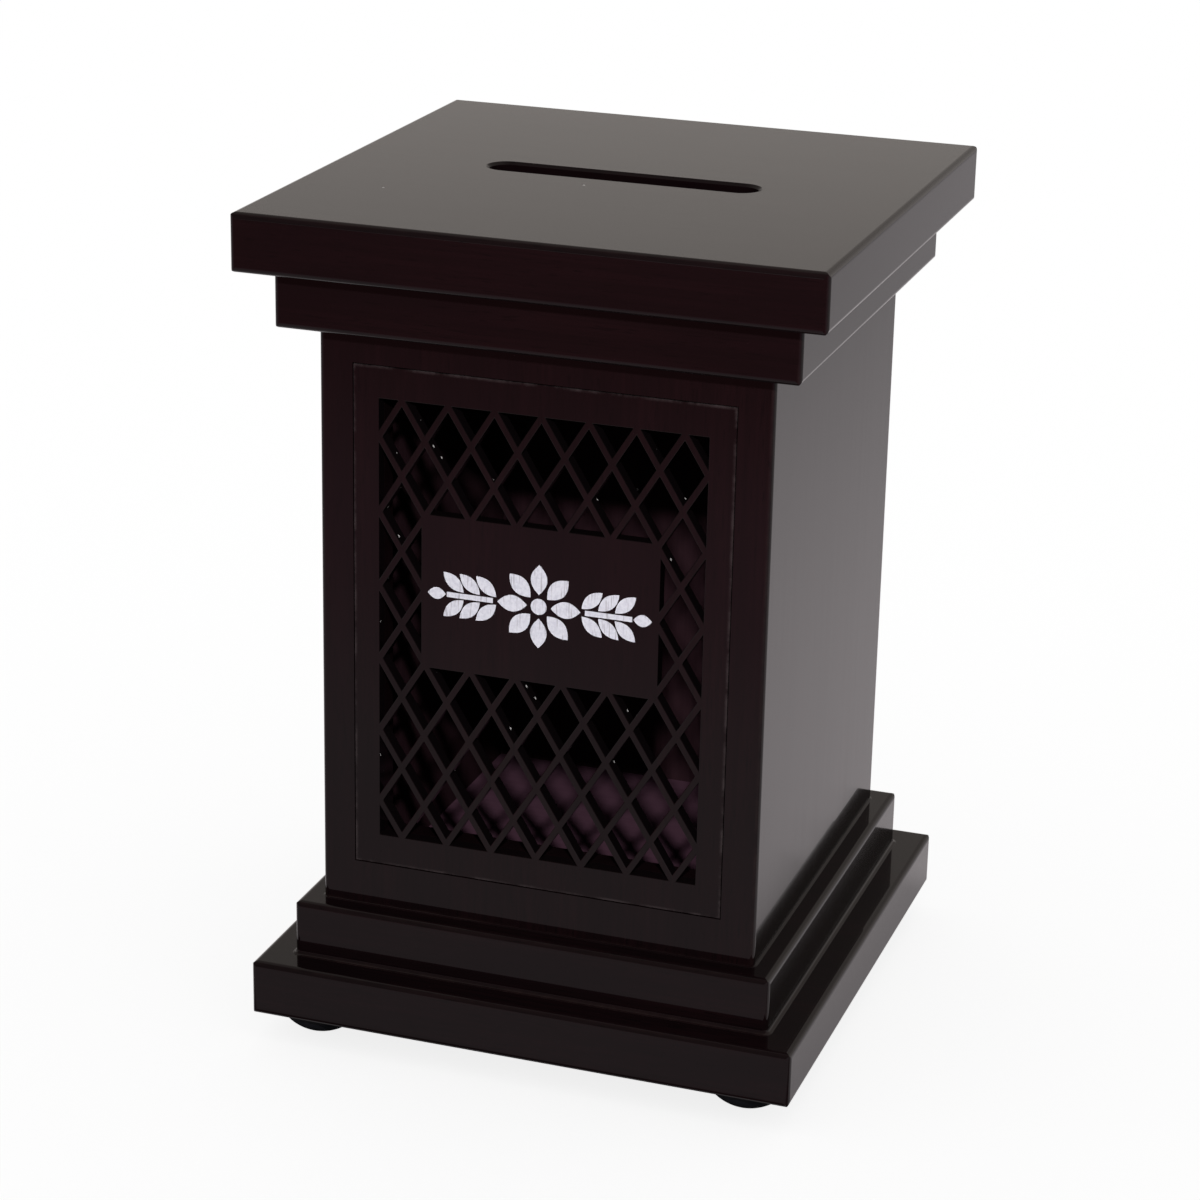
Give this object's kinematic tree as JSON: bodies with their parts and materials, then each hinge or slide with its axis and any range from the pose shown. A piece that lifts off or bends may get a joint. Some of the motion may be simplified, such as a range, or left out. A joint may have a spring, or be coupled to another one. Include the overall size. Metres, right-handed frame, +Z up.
{
  "type": "tzedakah box",
  "caption": "Square wooden charity box on a stepped base, with a lift-off slotted lid and a pierced diamond lattice panel with an uncut plaque in front.",
  "frame": {"origin": "on the floor, in the middle between the four feet", "axes": "+Z up through the coin slot, -Y out of the front with the lattice panel, +X to the right as the front is faced"},
  "size_m": [0.1, 0.1, 0.1484],
  "materials": {
    "lacquered_mahogany": "dark mahogany stain under gloss lacquer",
    "lacquered_fretwork": "dark mahogany stain under gloss lacquer, thinner on the cut edges",
    "white_paint": "flat white screen-printed paint",
    "black_rubber": "smooth black rubber",
    "screw_steel": "bright zinc plating",
    "bare_beech": "bare turned wood"
  },
  "bodies": {
    "box": {"front_wall": "lacquered_mahogany", "back_wall": "lacquered_mahogany", "left_wall": "lacquered_mahogany", "right_wall": "lacquered_mahogany", "lattice_panel": "lacquered_fretwork", "step_board": "lacquered_mahogany", "plinth_board": "lacquered_mahogany", "wall_pins": "bare_beech", "base_screws": "screw_steel", "foot_front_left": "black_rubber", "foot_front_right": "black_rubber", "foot_rear_left": "black_rubber", "foot_rear_right": "black_rubber"},
    "lid": {"top_slab": "lacquered_mahogany", "skirt_front": "lacquered_mahogany", "skirt_back": "lacquered_mahogany", "skirt_left": "lacquered_mahogany", "skirt_right": "lacquered_mahogany"}
  },
  "joints": [
    {"name": "lid_lift", "type": "slide", "parent": "box", "child": "lid", "axis": [0, 0, 1], "range_m": [0, 0.06]}
  ]
}
